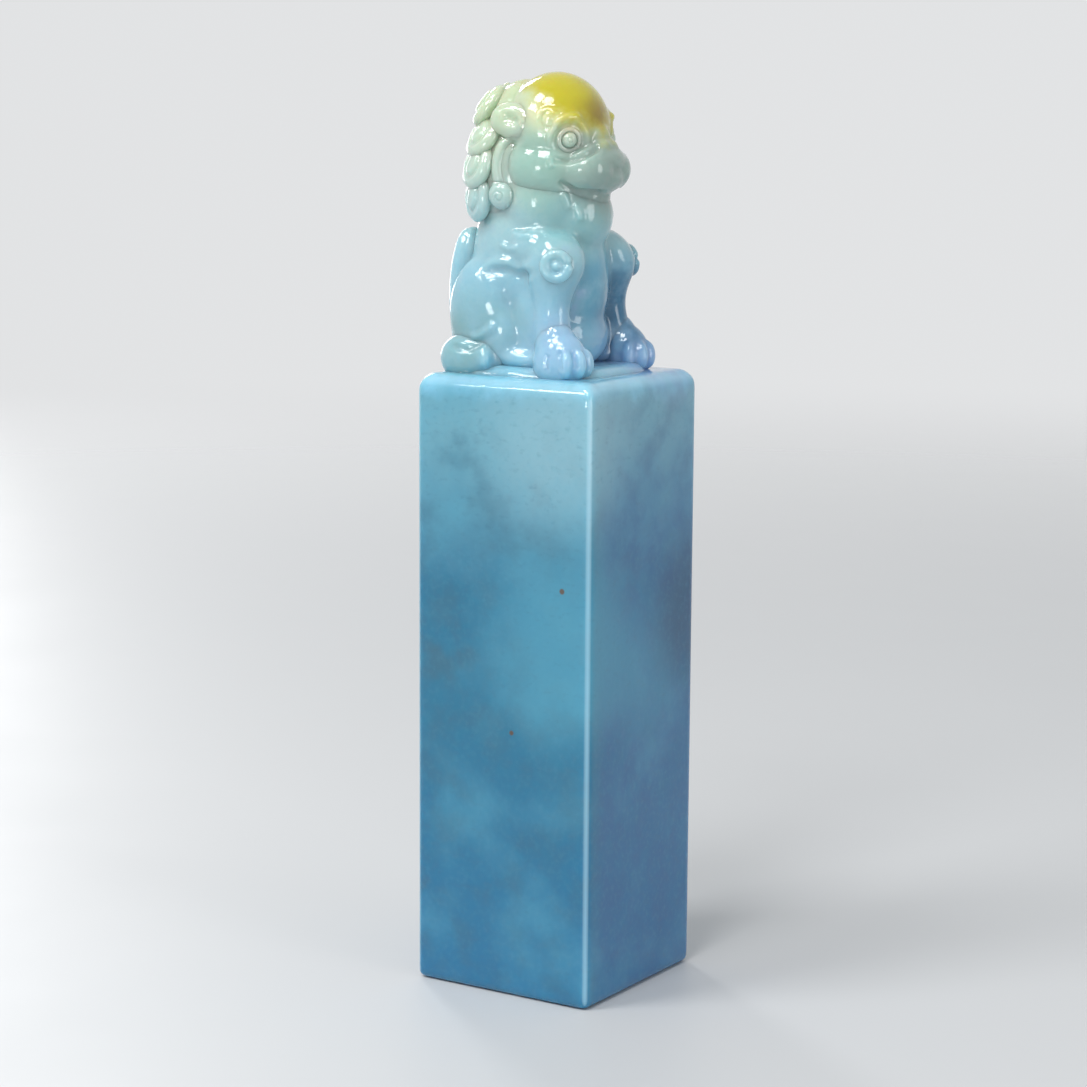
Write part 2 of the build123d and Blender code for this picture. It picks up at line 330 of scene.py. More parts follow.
# %% [markdown]
# Jadeite is a mass of fine crystals that lets light in a little way. Its colour drifts from place to
# place: this stone is blue in the block, pale and greenish at the head, with a yellow skin on the dome.
# The colour is worked out from the place on the stone, in Object coordinates, so it runs on from one
# carved form to the next without a seam. The sums are written as Python, and each adds its Math node.

# %% A small class for shader sums
class Value:
    """What comes out of a shader node's socket, ready for sums."""

    def __init__(self, tree, socket):
        self.tree, self.socket = tree, socket

    def make(self, kind, settings=None, sockets=None, out=0):
        """Any other node, with its settings, and the values or links of its sockets."""
        node = self.tree.nodes.new(kind)
        for name, value in (settings or {}).items():
            if name == "stops":
                ramp = node.color_ramp
                for place, colour in value[:-2]:
                    ramp.elements.new(place)
                for stop, (place, colour) in zip(ramp.elements, value):
                    stop.position = place
                    stop.color = (*colour, 1)
            else:
                setattr(node, name, value)
        for name, value in (sockets or {}).items():
            if isinstance(value, Value):
                self.tree.links.new(value.socket, node.inputs[name])
            else:
                node.inputs[name].default_value = value
        return Value(self.tree, node.outputs[out] if node.outputs else None)

    def maths(self, operation, *values):
        """A Math node on values and numbers."""
        return self.make("ShaderNodeMath", {"operation": operation}, dict(enumerate(values)))

    def __add__(self, other):
        return self.maths("ADD", self, other)

    def __sub__(self, other):
        return self.maths("SUBTRACT", self, other)

    def __rsub__(self, other):
        return self.maths("SUBTRACT", other, self)

    def __mul__(self, other):
        return self.maths("MULTIPLY", self, other)

    def __truediv__(self, other):
        return self.maths("DIVIDE", self, other)

    __radd__ = __add__
    __rmul__ = __mul__

    def size(self):
        """The value without its sign."""
        return self.maths("ABSOLUTE", self)

    def most(self, other):
        """The larger of two values."""
        return self.maths("MAXIMUM", self, other)

    def rise(self, low, high):
        """0 up to low and 1 from high on, and a smooth slope between them."""
        return self.make(
            "ShaderNodeMapRange", {"interpolation_type": "SMOOTHSTEP"},
            {"Value": self, "From Min": low, "From Max": high},
        )

    def fall(self, low, high):
        """1 up to low and 0 from high on."""
        return 1 - self.rise(low, high)


def blend_colour(share, first, second):
    """The first colour where share is 0 and the second where it is 1."""
    colour = {6: first if isinstance(first, Value) else (*first, 1),
              7: second if isinstance(second, Value) else (*second, 1)}
    return share.make("ShaderNodeMix", {"data_type": "RGBA"}, {"Factor": share, **colour}, out=2)


# %% [markdown]
# The colours below are linear light values. The first group is a ladder from the block's foot to the
# top of the head, and a colour ramp climbs it; its paler step at the block's top face is painted light.
# The second group is for clouds and patches, whose places are listed after it in millimetres, because a
# stone's clouds are where they are: none repeats. A few of them are painted shade, as marked below.

# %% The stone's colours
BLOCK_WIDTH, BLOCK_HEIGHT = 14.0, 42.5  # millimetres
STONE_TOP = 63.0  # just over the lion's head
BLOCK_LOW = (0.0, 0.165, 0.34)
BLOCK_MIDDLE = (0.0, 0.165, 0.295)
BLOCK_HIGH = (0.15, 0.39, 0.49)
# Paler at the block's top face: painted light where the top catches the light from above
LIT_BLOCK_TOP = (0.22, 0.54, 0.70)
LION_LOW = (0.30, 0.55, 0.69)
LION_MIDDLE = (0.26, 0.49, 0.59)
LION_NECK = (0.36, 0.55, 0.56)
HEAD_PALE = (0.45, 0.59, 0.50)
HEAD_TOP = (0.55, 0.62, 0.36)
LADDER = [  # how far up the stone, and the colour there
    (0.0, BLOCK_LOW), (0.3, BLOCK_MIDDLE), (0.44, BLOCK_MIDDLE), (0.62, BLOCK_HIGH), (0.65, BLOCK_HIGH),
    (0.67, LIT_BLOCK_TOP), (0.69, LION_LOW), (0.78, LION_MIDDLE), (0.84, LION_NECK), (0.89, HEAD_PALE),
    (1.0, HEAD_TOP),
]

BLOCK_PALE = (0.08, 0.36, 0.50)
BLOCK_GREY = (0.03, 0.13, 0.20)
BLOCK_DARK = (0.0, 0.05, 0.13)
# Painted shade: the deeper blue of the block's front side, away from the main light
SIDE_SHADE_BLUE = (0.0, 0.11, 0.34)
CLOUD_PALE = (0.30, 0.52, 0.60)
LAVENDER = (0.26, 0.33, 0.62)
CHEST_BLUE = (0.07, 0.30, 0.44)
# Painted shade on the far foreleg
FAR_SIDE_SHADE = (0.02, 0.15, 0.27)
MOSS_GREY = (0.20, 0.38, 0.39)
NECK_GREEN = (0.18, 0.41, 0.42)
CHEEK_GREEN = (0.26, 0.46, 0.40)
MUZZLE_GREY = (0.22, 0.31, 0.28)
BROW_PALE = (0.76, 0.77, 0.44)
SKIN_YELLOW = (0.50, 0.44, 0.0)
SKIN_AMBER = (0.25, 0.15, 0.0)
SPECK_BROWN = (0.10, 0.05, 0.015)
# The block's paler edges: wear, with a painted highlight down the uprights and painted light on the top rim
EDGE_WEAR_AND_HIGHLIGHT = (0.50, 0.74, 0.86)
print("the ladder has", len(LADDER), "colours")

# %% Where the clouds and patches are
# Each has a place, the radius of its full strength, how far it fades beyond that, and its strength. A
# patch has its colour too, and a speck only a place and a radius.
GREY_CLOUDS = (
    ((7, -2.0, 29), 0.3, 4.5, 0.55), ((7, 3.5, 25), 0.3, 4.0, 0.4), ((-4.5, -7, 24), 0.3, 4.0, 0.5),
    ((-6.5, -7, 7), 0.2, 2.5, 0.7), ((2.0, -7, 33), 0.3, 3.5, 0.25),
)
BLOCK_PATCHES = (
    ((4.5, -7.5, 38.5), 1.5, 7.0, 0.6, CLOUD_PALE), ((6.0, -8.0, 25), 2.5, 7.0, 0.6, BLOCK_PALE),
    ((7.5, 0.5, 22), 1.0, 6.0, 0.35, BLOCK_PALE), ((7.0, 7.0, 26), 2.0, 6.0, 0.6, BLOCK_DARK),
)
# Of these, the blue on the far foreleg is painted shade, and the lavender on the far paw and the grey-green
# in the hollow of the near flank are the stone's tints deepened into painted shade; the rest are the stone's
# own
LION_PATCHES = (
    ((3.2, -0.6, 48.0), 1.2, 3.2, 0.75, CHEST_BLUE), ((4.4, 4.0, 44.5), 1.5, 4.5, 0.6, LAVENDER),
    ((3.2, -4.6, 44.5), 1.0, 2.6, 0.3, LAVENDER), ((-4.0, -5.0, 45.5), 1.0, 3.2, 0.5, MOSS_GREY),
    ((-1.2, -4.5, 46.0), 0.6, 2.0, 0.35, MOSS_GREY), ((1.6, -3.6, 60.2), 0.8, 2.0, 0.8, BROW_PALE),
    ((-1.0, -4.4, 52.2), 0.5, 2.2, 0.4, CLOUD_PALE), ((-4.5, 3.5, 47.0), 1.5, 4.0, 0.4, MOSS_GREY),
    ((-4.8, -4.8, 44.2), 1.2, 1.8, 0.7, MOSS_GREY), ((2.8, 3.6, 47.0), 1.5, 3.2, 1.0, FAR_SIDE_SHADE),
    ((2.2, -2.2, 52.6), 1.4, 2.4, 0.55, NECK_GREEN),
)
SPECKS = (((4.87, -7, 28.6), 0.13), ((0.9, -7, 18.5), 0.1), ((3.9, 4.4, 49.6), 0.08))
print(len(GREY_CLOUDS) + len(BLOCK_PATCHES) + len(LION_PATCHES), "clouds and patches")


# %% [markdown]
# One function writes the whole stone's material, and each polish gets a material of its own from it.
# The sums lay one soft mask after another over the ladder's colour. Jadeite glows a little, which is
# Subsurface, and its wax polish is a thin Coat.

# %% Jade
REFRACTION = 1.55  # the index of refraction
GLOW = 0.75  # the share of the light that goes in
GLOW_REACH = 0.0018  # metres
GLOW_TINT = (0.6, 0.95, 1.0)  # red goes in least far and blue furthest
WAX_ROUGHNESS = 0.015
RUB_DEPTH = 0.0001  # metres
SKIN_LEVEL, SKIN_SLANT = 60.6, 0.62  # how high the yellow skin begins, and how it sinks to the front


def jade(name, gloss, coat):
    """The stone's own material. Gloss is its roughness, and coat the strength of its wax polish."""
    material = bpy.data.materials.new(name)
    material.use_nodes = True
    tree = material.node_tree
    tree.nodes.clear()
    coordinates = Value(tree, tree.nodes.new("ShaderNodeTexCoord").outputs["Object"])
    place = coordinates.make(
        "ShaderNodeVectorMath", {"operation": "SCALE"}, {0: coordinates, "Scale": 1 / MILLIMETRE}
    )

    def noise(scale, detail=3, stretch=(1, 1, 1), shift=(0, 0, 0)):
        moved = place.make("ShaderNodeMapping", {}, {"Vector": place, "Scale": stretch, "Location": shift})
        return place.make("ShaderNodeTexNoise", {}, {"Vector": moved, "Scale": scale, "Detail": detail})

    def near(point, radius, soft):
        """1 within a radius of a point in millimetres, and 0 further than soft beyond it."""
        distance = place.make("ShaderNodeVectorMath", {"operation": "DISTANCE"}, {0: place, 1: point}, out=1)
        return distance.fall(radius, radius + soft)

    parts = tree.nodes.new("ShaderNodeSeparateXYZ")
    tree.links.new(place.socket, parts.inputs[0])
    x, y, z = (Value(tree, parts.outputs[number]) for number in range(3))

    clouds = noise(0.16, 4)
    patches = noise(0.42, 5, shift=(7, 3, 1))
    crystals = noise(2.6, 3)
    wander = (noise(0.5, 2, shift=(3, 9, 2)) - 0.5) * 3

    height = (z + wander) / STONE_TOP
    colour = height.make("ShaderNodeValToRGB", {"stops": LADDER}, {"Fac": height})

    # Clouds in the block and the body, greyer and paler than the rest
    in_head = z.rise(53, 57)
    in_block = z.fall(BLOCK_HEIGHT - 1.5, BLOCK_HEIGHT + 1.5)
    colour = blend_colour(
        clouds.rise(0.42, 0.75) * 0.3 * (1 - in_head) * (1 - in_block), colour, CLOUD_PALE
    )
    colour = blend_colour(clouds.rise(0.42, 0.75) * 0.5 * in_block, colour, BLOCK_PALE)
    colour = blend_colour(patches.rise(0.42, 0.75) * 0.4 * in_block, colour, BLOCK_GREY)
    colour = blend_colour(
        patches.fall(0.25, 0.45) * 0.35 * (1 - in_block) * (1 - in_head), colour, LAVENDER
    )
    for point, radius, soft, strength in GREY_CLOUDS:
        cloud = near(point, radius, soft) * patches.rise(0.35, 0.6) * strength
        colour = blend_colour(cloud, colour, BLOCK_GREY)

    # The block's front side is painted a deeper blue, broken up by the stone's patches: painted shade on the
    # side away from the main light. Paler and darker patches follow, and fine fibres run all over
    shaded_side = x.rise(5.0, 7.0) * y.rise(-7.0, -4.5) * z.fall(30, 46)
    colour = blend_colour(shaded_side * (0.1 + patches * 0.7), colour, SIDE_SHADE_BLUE)
    for point, radius, soft, strength, tint in BLOCK_PATCHES:
        colour = blend_colour(near(point, radius, soft) * in_block * strength, colour, tint)
    fibres = noise(1.8, 4, stretch=(1, 1, 1.5), shift=(2, 8, 5))
    colour = blend_colour(fibres.rise(0.52, 0.8) * 0.2 * in_block, colour, BLOCK_GREY)

    # The lion's patches: deep blue on the chest, lavender on the paws, grey-green on the haunches. The blue
    # on the far foreleg is painted shade, and so is the deepened lavender on the far paw and grey-green in
    # the near flank's hollow
    for point, radius, soft, strength, tint in LION_PATCHES:
        colour = blend_colour(near(point, radius, soft) * patches.rise(0.2, 0.6) * strength, colour, tint)

    # The cheek's green, the muzzle's grey, the yellow skin on the dome and the amber at its front
    colour = blend_colour(near((0.6, -4.0, 56.4), 1.2, 2.6) * 0.7, colour, CHEEK_GREEN)
    colour = blend_colour(near((4.0, 0, 56.0), 1.8, 2.6) * 0.85, colour, MUZZLE_GREY)
    over = z + x * SKIN_SLANT - SKIN_LEVEL + (noise(0.9, 3, shift=(1, 5, 4)) - 0.5) * 1.6
    colour = blend_colour(over.rise(-0.7, 1.2) * in_head, colour, SKIN_YELLOW)
    amber = near((4.3, 0, 59.6), 0.5, 2.8) * patches.rise(0.2, 0.6)
    colour = blend_colour(amber * over.rise(0.0, 1.5), colour, SKIN_AMBER)

    # Fine crystals, a few brown specks, and the block's paler edges: worn, with a painted highlight down the
    # uprights and painted light along the top rim
    colour = blend_colour(crystals.rise(0.45, 0.75) * 0.1 * (1 - in_head), colour, BLOCK_PALE)
    for point, radius in SPECKS:
        colour = blend_colour(near(point, radius, 0.12) * 0.9, colour, SPECK_BROWN)
    half = BLOCK_WIDTH / 2
    edge = (x.size() + y.size()).rise(BLOCK_WIDTH - 0.45, BLOCK_WIDTH - 0.28) * in_block
    rim = x.size().most(y.size()).rise(half - 0.9, half - 0.2) * z.rise(BLOCK_HEIGHT - 1, BLOCK_HEIGHT - 0.3)
    colour = blend_colour(edge.most(rim * 0.5) * 0.6, colour, EDGE_WEAR_AND_HIGHLIGHT)

    # The polish: slow waves left by hand rubbing, small uneven cuts on the lion, and tiny pits
    waves = noise(0.55, 2, shift=(4, 4, 4))
    cuts = noise(1.0, 2, shift=(6, 2, 9)) * (1 - in_block)
    pits = noise(7, 2)
    relief_height = waves * 1.4 + cuts * 3.2 + pits.rise(0.64, 0.8) * -0.08
    bump = waves.make(
        "ShaderNodeBump", {}, {"Strength": 0.2, "Distance": RUB_DEPTH, "Height": relief_height}
    )
    surface = colour.make("ShaderNodeBsdfPrincipled", {}, {
        "Base Color": colour, "Roughness": gloss + crystals * 0.02, "Normal": bump, "IOR": REFRACTION,
        "Subsurface Weight": GLOW, "Subsurface Radius": GLOW_TINT, "Subsurface Scale": GLOW_REACH,
        "Coat Weight": coat, "Coat Roughness": WAX_ROUGHNESS,
    })
    surface.make("ShaderNodeOutputMaterial", {}, {"Surface": surface})
    return material


blue_jade = jade("blue_jade", gloss=0.03, coat=0.4)
pale_jade = jade("pale_jade", gloss=0.03, coat=0.8)
yellow_skin = jade("yellow_skin", gloss=0.03, coat=0.45)
print("jade made of", len(blue_jade.node_tree.nodes), "nodes")


# %% [markdown]
# A finished piece is scaled to metres about the origin, so its object stays at the origin, unturned.
# Then it takes the place of the CAD nodes that it dresses, which are hidden under it.

# %% Helper that hands a piece over to the frame
def finish_piece(piece, material, nodes):
    """Scales a piece from millimetres to metres, smooths its shading, and puts it in the frame."""
    piece.data.materials.clear()
    piece.data.materials.append(material)
    pick(piece)
    bpy.ops.transform.resize(value=(MILLIMETRE, MILLIMETRE, MILLIMETRE), center_override=(0, 0, 0))
    bpy.ops.object.transform_apply(location=True, rotation=True, scale=True)
    bpy.ops.object.shade_smooth()
    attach(piece, "root")
    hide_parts(*nodes)
    low, high = (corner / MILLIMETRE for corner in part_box(nodes[0]))
    print(piece.name, "stands for", ", ".join(nodes), "near", [round(v, 1) for v in (low + high) / 2])


# %% [markdown]
# The block is sawn and then rubbed flat by hand, so its faces are true but its edges are a little soft:
# crisp along the uprights, rounder on the rim under the lion. A cube's edges are picked by their place
# and bevelled by different amounts. A voxel remesh then gives it an even net, because the shine on a
# long flat face shows every uneven facet, and a last rub takes the steps out of the rounded edges.

# %% The block
UPRIGHT_ROUND, RIM_ROUND, FOOT_ROUND = 0.5, 1.2, 0.5  # how far in each kind of edge is bevelled
HAIR = 0.01  # a hair's breadth, for telling what lies in one plane
BLOCK_GRAIN, BLOCK_ROUNDS = 0.19, 6  # the size of its voxels, and how often it is rubbed


def bevel_where(test, width, segments):
    """Bevels the edges of the mesh in edit mode whose two ends and middle pass a test."""
    mesh = bpy.context.active_object.data
    bpy.ops.mesh.select_all(action="DESELECT")
    bpy.ops.object.mode_set(mode="OBJECT")
    for edge in mesh.edges:
        first, last = (mesh.vertices[index].co for index in edge.vertices)
        edge.select = all(test(point) for point in (first, last, (first + last) / 2))
    bpy.ops.object.mode_set(mode="EDIT")
    bpy.ops.mesh.bevel(offset=width, segments=segments, profile=0.5)


def block_piece():
    bpy.ops.object.select_all(action="DESELECT")
    bpy.ops.mesh.primitive_cube_add(
        size=1, location=(0, 0, BLOCK_HEIGHT / 2), scale=(BLOCK_WIDTH, BLOCK_WIDTH, BLOCK_HEIGHT)
    )
    bpy.ops.object.transform_apply(location=True, rotation=True, scale=True)
    block = bpy.context.active_object
    half, near_side = BLOCK_WIDTH / 2, BLOCK_WIDTH / 2 - 0.3
    bpy.ops.object.mode_set(mode="EDIT")
    bpy.ops.mesh.select_mode(type="EDGE")
    bevel_where(lambda v: min(abs(v.x), abs(v.y)) > half - HAIR, UPRIGHT_ROUND, 8)
    bevel_where(lambda v: v.z > BLOCK_HEIGHT - HAIR and max(abs(v.x), abs(v.y)) > near_side, RIM_ROUND, 10)
    bevel_where(lambda v: v.z < HAIR and max(abs(v.x), abs(v.y)) > near_side, FOOT_ROUND, 6)
    bpy.ops.object.mode_set(mode="OBJECT")
    block.name = block.data.name = "block"
    modify(block, "REMESH", mode="VOXEL", voxel_size=BLOCK_GRAIN, adaptivity=0)
    return polish(block, BLOCK_ROUNDS)


block = block_piece()
print("block has", len(block.data.polygons), "faces")
finish_piece(block, blue_jade, ["seal_block"])

# %% [markdown]
# The lion sits on a low mound that the carver left standing over the block's top. It is a thin slab
# with well rounded corners, so a cube is bevelled twice, and a flat ball on each side makes its edge
# bulge a little under the lion.

# %% The mound
MOUND_PLACE, MOUND_SIZE = Vector((-0.7, 0, 42.55)), Vector((11.9, 10.9, 1.1))
MOUND_CORNER, MOUND_EDGE = 3.4, 1.0  # how far in they are bevelled


def mound_piece():
    bpy.ops.object.select_all(action="DESELECT")
    bpy.ops.mesh.primitive_cube_add(size=1, location=MOUND_PLACE, scale=MOUND_SIZE)
    bpy.ops.object.transform_apply(location=True, rotation=True, scale=True)
    bpy.ops.object.mode_set(mode="EDIT")
    bpy.ops.mesh.select_mode(type="EDGE")
    corner, top = MOUND_SIZE / 2, (MOUND_PLACE + MOUND_SIZE / 2).z
    bevel_where(
        lambda v: abs(v.x - MOUND_PLACE.x) > corner.x - HAIR and abs(v.y) > corner.y - HAIR, MOUND_CORNER, 12
    )
    bevel_where(lambda v: v.z > top - HAIR, MOUND_EDGE, 8)
    bpy.ops.object.mode_set(mode="OBJECT")
    slab = bpy.context.active_object
    bulge = egg((-0.6, -4.6, 42.5), (3.6, 1.6, 1.2))
    return fuse("mound", [slab], [bulge], grain=0.11, rounds=70)


mound = mound_piece()
finish_piece(mound, blue_jade, ["ground_mound"])

# %% [markdown]
# The body is one skin over the barrel of the torso, the smooth chest, the haunches and the forelegs,
# because a carver rounds these into each other and only marks them with soft creases. Balls and oval
# towers are joined, wrapped by a voxel remesh and smoothed, and the creases come out by themselves. A
# filler and a low web close the hollow between haunch and foreleg, where the carver left stone. The
# beard and the neck under the mane are here too, so that the head sits down over them.

# %% The body
GROUND = 43.3  # about the mound's top: torso and forelegs begin a little below it
MANE_PLACE, MANE_SIZE = (-2.5, 0, 55.5), (7.2, 8.0, 11.0)


def neck_forms(place, size):
    """The mane and the neck under the jaw. The body has both and so has the head, where the neck is
    smaller and stays inside the body's, so that one runs on into the other without a step."""
    return [egg(MANE_PLACE, MANE_SIZE), egg(place, size)]


def body_piece():
    torso = tower([
        (-1.9, 0, GROUND - 0.5, 4.1, 3.8), (-1.9, 0, 45.9, 4.65, 4.25), (-1.9, 0, 48.5, 4.8, 4.4),
        (-1.9, 0, 51.4, 4.45, 4.1), (-2.0, 0, 53.4, 3.6, 3.6), (-2.1, 0, 54.6, 2.6, 2.6),
    ])
    chest = egg((0.95, 0, 48.7), (5.0, 6.0, 9.8))
    belly = egg((0.6, 0, 45.0), (5.6, 6.6, 5.0))
    haunch = egg((-3.7, -3.1, 46.5), (5.8, 4.1, 8.1))
    knee = egg((-2.3, -3.75, 45.3), (3.6, 2.5, 4.6))
    foreleg = tower([
        (2.4, -3.95, GROUND - 0.6, 1.4, 1.3), (2.2, -3.85, 44.4, 1.5, 1.35), (1.85, -3.65, 45.9, 1.25, 1.15),
        (1.7, -3.55, 47.1, 1.2, 1.15), (1.7, -3.4, 48.4, 1.6, 1.5), (1.85, -3.3, 49.7, 2.25, 1.9),
        (1.7, -3.0, 51.1, 2.0, 1.7), (1.2, -2.7, 52.3, 1.1, 1.0),
    ])
    shoulder = egg((0.1, -3.0, 50.9), (4.4, 2.9, 3.2))
    filler = egg((0.1, -3.1, 46.0), (4.2, 2.7, 6.8))
    web = egg((-0.2, -3.0, 43.6), (6.4, 3.6, 2.0))
    beard = egg((1.6, 0, 53.1), (4.5, 5.0, 5.2))
    neck = neck_forms((-0.6, 0, 53.9), (7.1, 7.9, 7.4))
    middle = [torso, chest, belly, beard] + neck
    return fuse("body", middle, [haunch, knee, filler, web, foreleg, shoulder], grain=0.1, rounds=90)


body = body_piece()

# %% The folds and the tufts of hair on the body
# Pixels of the photograph: the fold over the thigh and the crease under it, the crease in front of the
# haunch, and tufts on the neck, on the shoulder blade and above the hind foot
THIGH_FOLD = [(483, 268), (494, 262), (507, 262), (520, 267), (534, 264)]
THIGH_CREASE = [(481, 275), (494, 271), (508, 271), (521, 275), (537, 272)]
FLANK_CREASE = [(504, 290), (512, 308), (520, 328), (526, 346), (528, 360)]
TUFTS = [
    [(561, 192), (566, 200), (569, 210)], [(500, 243), (508, 248), (518, 247)],
    [(512, 232), (522, 236), (532, 234)], [(574, 204), (579, 212), (580, 222)],
]
FOOT_TUFT = [(470, 336), (479, 335), (488, 330), (495, 322)]

relief(body, [trace(body, THIGH_FOLD)], reach=0.6, height=0.2)
groove(body, [trace(body, THIGH_CREASE)], reach=0.6, depth=0.14)
groove(body, [trace(body, FLANK_CREASE)], reach=1.0, depth=0.14)
relief(body, [trace(body, tuft) for tuft in TUFTS], reach=0.4, height=0.17)
relief(body, [trace(body, FOOT_TUFT)], reach=0.5, height=0.2)
polish(body, 4)
finish_piece(body, blue_jade, [
    "torso", "chest", "right_haunch", "left_haunch", "right_foreleg", "left_foreleg"
])

# %% [markdown]
# Each foot is a rounded pad with toes. The toes are drawn-out balls fanned round the front, and the
# remesh welds them to the pad. Short grooves part the front toes, and a smile-shaped fold marks where
# the hind leg's hair ends.

# %% The feet
PAD_MIDDLE, TOE_RISE = 43.35, 4  # the middle of the fan, and how many degrees over it the toes lie
TOE_SIZE = {"front": (2.0, 1.0, 1.2), "hind": (1.5, 1.0, 1.2)}
TOE_GROOVES = [  # pixels
    [(548, 354), (546, 362), (547, 371)], [(560, 350), (560, 360), (562, 372)],
    [(573, 350), (575, 360), (577, 369)],
]
HIND_FOLD = [(450, 343), (457, 347), (466, 349), (476, 347), (485, 342)]


def toes(centre, size, count, step, toe_size):
    """Toes fanned round the front of a foot, lying along the ground with their roots in the foot."""
    places = [skin(centre, size, step * (number - (count - 1) / 2), TOE_RISE) for number in range(count)]
    return [egg(place @ Vector((0, 0, -0.15)), toe_size, turn=place) for place in places]


def forepaws_piece():
    centre, size = (2.7, -4.0, 43.4), (3.9, 3.3, 4.5)
    parts = [egg(centre, size), egg((2.25, -3.9, 44.6), (2.9, 2.6, 3.4))]
    parts += toes((centre[0], centre[1], PAD_MIDDLE), size, 4, 33, TOE_SIZE["front"])
    paws = fuse("forepaws", [], parts, grain=0.07, rounds=48)
    groove(paws, [trace(paws, line) for line in TOE_GROOVES], reach=0.3, depth=0.12)
    return polish(paws, 3)


def hind_feet_piece():
    centre, size = (-4.5, -4.15, 43.4), (4.5, 2.9, 3.6)
    parts = [egg(centre, size), egg((-3.2, -4.1, 43.5), (2.6, 2.7, 2.9))]
    parts += toes((centre[0] + 0.2, centre[1], PAD_MIDDLE), size, 3, 42, TOE_SIZE["hind"])
    feet = fuse("hind_feet", [], parts, grain=0.07, rounds=60)
    groove(feet, [trace(feet, HIND_FOLD)], reach=0.4, depth=0.13)
    return polish(feet, 3)


forepaws = forepaws_piece()
finish_piece(forepaws, blue_jade, ["right_forepaw", "left_forepaw", "forepaw_toes"])
hind_feet = hind_feet_piece()
finish_piece(hind_feet, blue_jade, ["right_hind_foot", "left_hind_foot", "hind_toes"])

# %% [markdown]
# On each shoulder is a curl: a ring that is nearly closed, round a small ball. It catches the window's
# light as a bright letter C in the photograph. A worm bent round a circle makes the ring, and a low pad
# under ring and ball lets them rise out of the shoulder.

# %% The shoulder curls
SHOULDER_CURL = (556, 266)  # pixel


def shoulder_curls_piece():
    place = on_piece(body, SHOULDER_CURL, MILLIMETRE)
    ring = worm(ring_points(place, 0.8, 30, 315, count=15, out=-0.2), [0.37] * 15)
    ball = egg(place @ Vector((0, 0, -0.22)), (0.85, 0.85, 0.8))
    pad = egg(place @ Vector((0, 0, -0.55)), (2.35, 2.35, 1.1), turn=place)
    return fuse("shoulder_whorls", [], [ring, ball, pad], grain=0.05, rounds=20)


shoulder_curls = shoulder_curls_piece()
finish_piece(shoulder_curls, blue_jade, ["shoulder_curls"])

# %% [markdown]
# The head and the neck are one skin over the dome, the cheeks, the broad flat muzzle, the nose, the
# brows and the thick neck, because the carver rounds them into each other. The crown is a second dome
# behind the first and a little lower, on which the top lock lies.

# %% The head and the neck
SKULL_PLACE, SKULL_SIZE = (-0.2, 0, 58.6), (7.2, 7.7, 8.2)
CROWN_PLACE, CROWN_SIZE = (-2.6, 0, 59.2), (5.0, 6.4, 6.0)


def head_piece():
    skull = egg(SKULL_PLACE, SKULL_SIZE)
    cheeks = egg((-0.2, 0, 56.3), (7.3, 8.2, 6.4))
    muzzle = egg((2.6, 0, 56.7), (4.3, 5.2, 2.9))
    jaw = egg((2.55, 0, 55.75), (4.3, 5.0, 2.8))
    crown = egg(CROWN_PLACE, CROWN_SIZE)
    bridge = egg((2.7, 0, 58.2), (2.2, 2.4, 2.6))
    chin = egg((1.35, 0, 54.3), (4.8, 4.2, 3.0))
    lip = egg((2.6, -1.15, 56.2), (4.2, 3.5, 3.4))
    nose = egg((3.5, -0.35, 57.7), (1.5, 1.7, 1.2))
    brow_place = skin(SKULL_PLACE, SKULL_SIZE, 50, 17)
    brow = egg(brow_place @ Vector((0, 0, -0.2)), (1.4, 2.5, 0.7), turn=brow_place)
    middle = neck_forms((-0.6, 0, 54.2), (6.2, 7.0, 4.6)) + [skull, crown, cheeks, muzzle, jaw, bridge, chin]
    return fuse("head", middle, [lip, nose, brow], grain=0.085, rounds=34)


head = head_piece()

# %% [markdown]
# The lines of the face are pressed into the head: the crease over the muzzle, the mouth, a ring round
# the eye with a ridge outside it, the curl at the end of the brow, and short arched ridges round them.
# The whisker is a band that lies along the cheek's round border, between two grooves.

# %% The lines of the face
EYE = (569.5, 140)  # this and all the lines are in pixels
MUZZLE_CREASE = [(553, 159), (566, 160.5), (580, 157.5), (591, 152), (599, 146)]
MOUTH = [(560, 180), (565, 186), (575, 190.5), (588, 192), (602, 192)]
BROW_CURL = [(561, 113), (551, 110), (543, 114), (541, 122), (546, 128), (552, 125), (550, 119)]
ARCHES = [
    [(555, 131), (557, 122), (565, 116.5), (575, 115.5), (585, 120)],
    [(537, 121), (540, 113), (549, 110.5), (557, 113)], [(550, 156), (550.5, 162), (553, 168)],
]
WHISKER = [(517, 133), (505, 142), (498, 156), (496.5, 170), (499, 184)]
CHEEK_BORDER = [(523, 137), (511, 145), (504.5, 157), (503.5, 170), (507, 183), (514, 195)]
WHISKER_BACK = [(510, 131), (498, 139), (491, 153), (489, 168), (491, 183)]

groove(head, [trace(head, MUZZLE_CREASE)], reach=0.42, depth=0.26)
groove(head, [trace(head, MOUTH)], reach=0.42, depth=0.26, taper=0.15)
eye_place = on_piece(head, EYE)
socket = settle(head, ring_points(eye_place, 1.02, 0, 360, count=40))
groove(head, [socket], reach=0.32, depth=0.07, taper=0)
ridge = settle(head, ring_points(eye_place, 1.42, -25, 240, count=40))
relief(head, [ridge], reach=0.34, height=0.15)
groove(head, [trace(head, BROW_CURL)], reach=0.24, depth=0.13)
relief(head, [trace(head, arch) for arch in ARCHES], reach=0.36, height=0.15)
relief(head, [trace(head, WHISKER)], reach=0.7, height=0.22, taper=0.1)
groove(head, [trace(head, CHEEK_BORDER)], reach=0.45, depth=0.17)
groove(head, [trace(head, WHISKER_BACK)], reach=0.32, depth=0.16, taper=0.15)
polish(head, 3)
